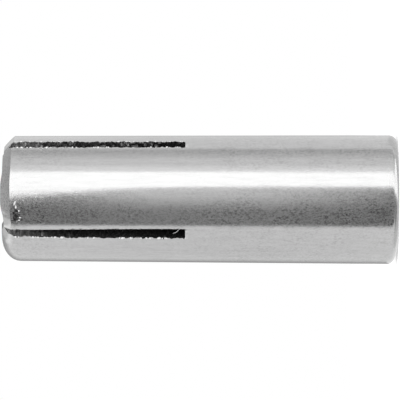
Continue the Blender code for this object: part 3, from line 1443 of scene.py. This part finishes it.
@dataclass
class Plug:
    """The loose expander plug that is driven up the taper."""

    rear: float = 17.215 * MM
    body: float = 6.0 * MM
    cone: float = 6.5 * MM
    radius: float = 3.89 * MM
    nose_radius: float = 3.435 * MM
    edge: float = 0.4 * MM
    nub_radius: float = 0.55 * MM
    nub_height: float = 0.12 * MM
    nub_dome: float = 0.02 * MM
    nub_foot: float = 0.08 * MM
    face_drop: float = 0.06 * MM
    dimple: tuple[tuple[float, float], ...] = ((1.2 * MM, 0.0), (1.0 * MM, 0.08 * MM), (0.0, 0.1 * MM))
    edge_steps: int = 4
    cone_steps: int = 8
    body_steps: int = 6
    steps: int = 128
    crisp_angle: float = 30.0

    def section(self) -> Section:
        """Half section from the nose to the rear, with the lathe's centre nub on its nose.

        Returns:
            Points as (radius, height).
        """
        length = self.body + self.cone
        face = length - self.face_drop
        points = [
            (0.0, length),
            (self.nub_radius, length - self.nub_dome),
            (self.nub_radius + self.nub_foot, length - self.nub_height),
            (self.nose_radius - self.edge, face),
        ]
        for step in range(1, self.edge_steps + 1):
            turn = math.pi / 2 * step / self.edge_steps
            radius = self.nose_radius - self.edge * (1 - math.sin(turn))
            points.append((radius, face - self.edge * (1 - math.cos(turn))))
        for step in range(1, self.cone_steps):
            share = step / self.cone_steps
            radius = mixed(self.nose_radius, self.radius, share)
            points.append((radius, mixed(face - self.edge, self.body, share)))
        points.append((self.radius, self.body))
        for step in range(1, self.body_steps):
            points.append((self.radius, mixed(self.body, self.edge, step / self.body_steps)))
        for step in range(self.edge_steps + 1):
            turn = math.pi / 2 * step / self.edge_steps
            radius = self.radius - self.edge * (1 - math.cos(turn))
            points.append((radius, self.edge * (1 - math.sin(turn))))
        points += self.dimple
        return [(radius, self.rear + height) for radius, height in points]

    def build(self, steel: bpy.types.Material) -> bpy.types.Object:
        """Models and dresses the plug.

        Args:
            steel: Its finish.

        Returns:
            The finished piece.
        """
        plug = draw_section("expander_body", self.section(), closed=False)
        spin_section(plug, self.steps)
        plug.data.materials.append(steel)
        smooth_by_angle(plug, self.crisp_angle)
        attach(plug, "plug")
        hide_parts("expander_plug")
        return plug


# The studio


@dataclass
class Studio:
    """A white table in a round light tent, with one long softbox above the camera.

    The tent and the softbox show only in reflections, as a retoucher leaves them out of the picture.
    """

    tent_radius: float = 260 * MM
    tent_low: float = -200 * MM
    tent_high: float = 260 * MM
    tent_steps: int = 360
    lid_share: float = 1.02
    card_share: float = 0.97
    roof_level: float = 0.40
    base_level: float = 0.82
    # View angle and light of the tent's cloth
    tent_levels: tuple[tuple[float, float], ...] = (
        *((-180, 0.26), (-158, 0.42), (-138, 0.93), (-56, 0.97), (-50, 0.95), (-48.5, 0.18)),
        *((-29, 0.185), (-20, 0.23), (-11, 0.42), (-2, 0.67), (5, 0.84), (12, 0.90), (18, 1.0)),
        *((21, 1.1), (51, 1.4), (61, 1.15), (66, 0.97), (74, 1.0), (89, 0.68), (94, 0.60)),
        *((101, 0.64), (105, 1.0), (130, 0.98), (149, 0.93), (168, 0.62), (180, 0.45)),
    )
    tent_gain: float = 1.6
    # View angle and share of that light behind the flags, and the heights where each begins and is full
    flag_levels: tuple[tuple[float, float], ...] = (
        *((-180, 1.0), (-150, 1.08), (-50, 1.08), (-48.5, 0.50), (-20, 0.42), (-8, 0.33), (2, 0.32)),
        *((12, 0.44), (20, 0.70), (24, 1.0), (96, 1.0), (130, 1.06), (156, 1.1), (180, 1.0)),
    )
    flag_gain: float = 1.1
    upper_flag: tuple[float, float] = (31 * MM, 44 * MM)
    lower_flag: tuple[float, float] = (12 * MM, -7 * MM)
    softbox_level: float = 2.15
    softbox_high: float = 49.5
    softbox_low: float = 22.5
    softbox_lowest: float = -20.0
    slant_height: float = 29.5 * MM
    slant: float = 18.5 / (20 * MM)
    floor_radius: float = 4.0
    fade_start: float = 40 * MM
    fade_end: float = 160 * MM
    table_lift: float = 0.36
    room_level: float = 0.72
    lamp_size: float = 0.5
    lamp_power: float = 3.2
    lamp_reach: float = 0.5
    lamp_height: float = 0.8
    picture_width: int = 400
    distance: float = 506 * MM
    middle_height: float = 19.85 * MM
    focal_pixels: float = 5025.0
    roll: float = 0.18
    drop: float = 0.104 * MM
    slide: float = 0.02 * MM

    def only_reflected(self, thing: bpy.types.Object) -> None:
        """Lets a card show in glossy reflections alone."""
        thing.visible_camera = False
        thing.visible_diffuse = False
        thing.visible_shadow = False
        thing.visible_transmission = False

    def tent_material(self) -> bpy.types.Material:
        """Light of the tent's cloth by view angle, dimmer towards the table in front.

        Returns:
            The material.
        """
        material, node = new_material("light_tent_cloth")
        axes = node("SeparateXYZ", {0: node("TexCoord").outputs["Object"]})
        x, y, z = (axes.outputs[letter] for letter in "XYZ")
        angle = node("Math", {0: y, 1: x}, operation="ARCTAN2")
        angle = node("Math", {0: angle, 1: math.radians(VIEW_AZIMUTH)}, operation="SUBTRACT")
        angle = node("Math", {0: angle, 1: math.pi, 2: -math.pi}, operation="WRAP")
        share = node("MapRange", {"Value": angle, "From Min": -math.pi, "From Max": math.pi})
        # Grey flags in front, one above the anchor's middle and one below it, beside lighter cloth
        ramps = []
        for rows, gain in ((self.tent_levels, self.tent_gain), (self.flag_levels, self.flag_gain)):
            ramp = node("ValToRGB", {"Fac": share})
            set_stops(ramp, [((degrees + 180) / 360, level / gain) for degrees, level in rows])
            ramps.append(ramp)
        ends = []
        for begins, full in (self.upper_flag, self.lower_flag):
            reach = {"Value": z, "From Min": begins, "From Max": full}
            ends.append(node("MapRange", reach, interpolation_type="SMOOTHSTEP"))
        flagged = node("Math", {0: ends[0], 1: ends[1]}, operation="MAXIMUM")
        colours = {"Factor": flagged, "A": ramps[0], "B": ramps[1]}
        dimmed = node("Mix", colours, data_type="RGBA", blend_type="MULTIPLY")
        levels = {"To Min": self.tent_gain, "To Max": self.tent_gain * self.flag_gain}
        gain = node("MapRange", {"Value": flagged, **levels})
        node("OutputMaterial", {"Surface": node("Emission", {"Color": dimmed, "Strength": gain})})
        return material

    def glow_material(self, name: str, level: float) -> bpy.types.Material:
        """A plain glowing surface of one level."""
        material, node = new_material(name)
        node("OutputMaterial", {"Surface": node("Emission", {"Strength": level})})
        return material

    def build_tent(self) -> None:
        """Stands the tent's round wall, its roof and its floor card around the table."""
        deselect_all()
        bpy.ops.mesh.primitive_cylinder_add(
            vertices=self.tent_steps,
            radius=self.tent_radius,
            depth=self.tent_high - self.tent_low,
            end_fill_type="NOTHING",
            location=(0, 0, (self.tent_high + self.tent_low) / 2),
        )
        self.hang("tent_wall", self.tent_material())
        lids = (
            ("tent_roof", self.roof_level, self.tent_high),
            ("tent_base", self.base_level, self.tent_low),
        )
        reach = self.tent_radius * self.lid_share
        for name, level, height in lids:
            deselect_all()
            middle = (0, 0, height)
            bpy.ops.mesh.primitive_circle_add(vertices=64, radius=reach, fill_type="NGON", location=middle)
            self.hang(name, self.glow_material(name + "_card", level))

    def hang(self, name: str, cloth: bpy.types.Material) -> None:
        """Names the card that was just added, fixes it where it is, dresses it and hides it."""
        card = bpy.context.active_object
        card.name = name
        bpy.ops.object.transform_apply(location=True, rotation=True, scale=True)
        card.data.materials.append(cloth)
        self.only_reflected(card)

    def bend_card(
        self,
        name: str,
        level: float,
        angles: Callable[[float], tuple[float, float]],
        heights: tuple[float, float],
    ) -> None:
        """Bends a glowing card just inside the tent's wall.

        Args:
            name: The card's name.
            level: How bright it glows.
            angles: Gives the view angles of its two edges at a height.
            heights: Its lower and upper end.
        """
        mesh = add_grid(24, 24).data
        values = places(mesh)
        for index, (x, y, _) in enumerate(values):
            height = mixed(*heights, x + 0.5)
            angle = mixed(*angles(height), y + 0.5)
            values[index] = polar(self.tent_radius * self.card_share, world_angle(angle), height)
        put_places(mesh, values)
        self.hang(name, self.glow_material(name + "_cloth", level))

    def softbox_edges(self, height: float) -> tuple[float, float]:
        """View angles of the softbox's edges. Its lower edge slants down past the tip."""
        slant = max(0.0, height - self.slant_height) * self.slant
        return max(self.softbox_low - slant, self.softbox_lowest), self.softbox_high

    def build_cards(self) -> None:
        """Hangs the softbox, and the cards that only the mouth's rounded edge mirrors."""
        self.bend_card("softbox", self.softbox_level, self.softbox_edges, (-190 * MM, 190 * MM))
        self.bend_card("high_back_grey", 0.42, lambda height: (100.0, 200.0), (150 * MM, 258 * MM))
        self.bend_card("low_back_light", 1.05, lambda height: (184.0, 248.0), (-195 * MM, -14 * MM))
        self.bend_card("low_back_grey", 0.82, lambda height: (112.0, 184.0), (-195 * MM, -14 * MM))
        low = self.tent_low + 1.0 * MM
        high = self.tent_high - 1.0 * MM
        # Name, level, height, reach to the front, and its edges' sideways places at the back and front
        rows = (
            ("base_light", 2.0, low, (-58, 250), (-4, 62), (215, 190)),
            ("base_flag", 0.25, low, (-4, 250), (-142, -136), (-26, 40)),
            ("roof_light", 0.98, high, (-240, 160), (-250, -250), (-82, -80)),
        )
        turn = world_angle(0)
        for name, level, height, ahead, lower, upper in rows:
            mesh = add_grid(8, 8).data
            values = places(mesh)
            for index, (x, y, _) in enumerate(values):
                front = mixed(*ahead, x + 0.5) * MM
                side = mixed(mixed(*lower, x + 0.5), mixed(*upper, x + 0.5), y + 0.5) * MM
                across = polar(front, turn, 0.0) + polar(side, turn + math.pi / 2, 0.0)
                values[index] = (across.x, across.y, height)
            put_places(mesh, values)
            self.hang(name, self.glow_material(name + "_card", level))

    def build_floor(self) -> None:
        """Lays the pale table, which fades to plain white away from the object's shadow."""
        deselect_all()
        bpy.ops.mesh.primitive_circle_add(vertices=96, radius=self.floor_radius, fill_type="NGON")
        floor = bpy.context.active_object
        floor.name = "table"
        material, node = new_material("white_table")
        reach = node("VectorMath", {0: node("TexCoord").outputs["Object"]}, operation="LENGTH")
        fade = {"Value": reach, "From Min": self.fade_start, "From Max": self.fade_end}
        share = node("MapRange", fade, interpolation_type="SMOOTHSTEP")
        paint = node("BsdfDiffuse", {"Color": linear("F4F4F4")})
        seen = node("LightPath").outputs["Is Camera Ray"]
        lift = node("MapRange", {"Value": seen, "To Max": self.table_lift})
        lit = node("AddShader", {0: paint, 1: node("Emission", {"Strength": lift})})
        faded = node("MixShader", {0: share, 1: lit, 2: node("Emission", {"Strength": 1.0})})
        back = node("NewGeometry").outputs["Backfacing"]
        shown = node("MixShader", {0: back, 1: faded, 2: node("BsdfTransparent")})
        node("OutputMaterial", {"Surface": shown})
        floor.data.materials.append(material)
        floor.visible_glossy = False

    def build_light(self) -> None:
        """Hangs one soft lamp for the shadow, in a plain white room."""
        world = bpy.data.worlds.new("white_room")
        bpy.context.scene.world = world
        world.use_nodes = True
        world.node_tree.nodes.clear()
        node = partial(add_node, world.node_tree)
        paths = node("LightPath")
        seen = paths.outputs["Is Camera Ray"]
        for ray in ("Is Glossy Ray", "Is Transmission Ray"):
            seen = node("Math", {0: seen, 1: paths.outputs[ray]}, operation="MAXIMUM")
        level = node("MapRange", {"Value": seen, "To Min": self.room_level, "To Max": 1.0})
        node("OutputWorld", {"Surface": node("Background", {"Color": linear("FFFFFF"), "Strength": level})})

        lamp = bpy.data.lights.new("soft_lamp", "AREA")
        lamp.shape = "DISK"
        lamp.size = self.lamp_size
        lamp.energy = self.lamp_power
        holder = bpy.data.objects.new("soft_lamp", lamp)
        holder.location = polar(self.lamp_reach, world_angle(0), self.lamp_height)
        holder.rotation_euler = (-holder.location).to_track_quat("-Z", "Y").to_euler()
        holder.visible_glossy = False
        bpy.context.scene.collection.objects.link(holder)

    def build_camera(self) -> None:
        """Stands the camera level with the anchor's middle, turned so that the mouth is at the right."""
        back = polar(1.0, world_angle(0), 0.0)
        right = Vector((0, 0, -1))
        up = back.cross(right)
        turn = math.radians(self.roll)
        tilted_right = right * math.cos(turn) + up * math.sin(turn)
        tilted_up = back.cross(tilted_right)
        data = bpy.data.cameras.new("camera")
        data.sensor_width = 36.0
        data.lens = self.focal_pixels * data.sensor_width / self.picture_width
        data.clip_start = 0.01
        data.clip_end = 10.0
        camera = bpy.data.objects.new("camera", data)
        middle = Vector((0, 0, self.middle_height))
        place = middle + back * self.distance - up * self.drop + right * self.slide
        rotation = Matrix((tilted_right, tilted_up, back)).transposed().to_4x4()
        camera.matrix_world = Matrix.Translation(place) @ rotation
        bpy.context.scene.collection.objects.link(camera)
        bpy.context.scene.camera = camera

    def build(self) -> None:
        """Sets up the table, the tent, the lamp and the camera."""
        bpy.context.scene.view_settings.view_transform = "Standard"
        self.build_floor()
        self.build_tent()
        self.build_cards()
        self.build_light()
        self.build_camera()


def report(piece: bpy.types.Object) -> None:
    """Logs a finished piece's size."""
    corners = places(piece.data)
    size = (corners.max(axis=0) - corners.min(axis=0)) / MM
    log.info("%s: %d faces, %.2f x %.2f x %.2f mm", piece.name, len(piece.data.polygons), *size)


def main() -> None:
    """Builds the anchor's pieces in order, then the studio round them."""
    logging.basicConfig(level=logging.INFO, format="%(name)s %(message)s")
    Studio().build()
    plate = ZincPlate().material()
    sawn = SawnSteel().material()
    tapped = MachinedSteel("tapped_thinly_plated_steel", "9A9A98", "7C7B78", 0.24).material()
    turned = MachinedSteel("turned_oiled_steel", "8C8B89", "6E6B66", 0.32).material()
    shell = Shell()
    report(shell.build((plate, sawn, tapped)))
    report(SawBurrs(shell).build(TornSteelPaintedGlints().material()))
    report(Plug().build(turned))


if __name__ == "__main__":
    main()
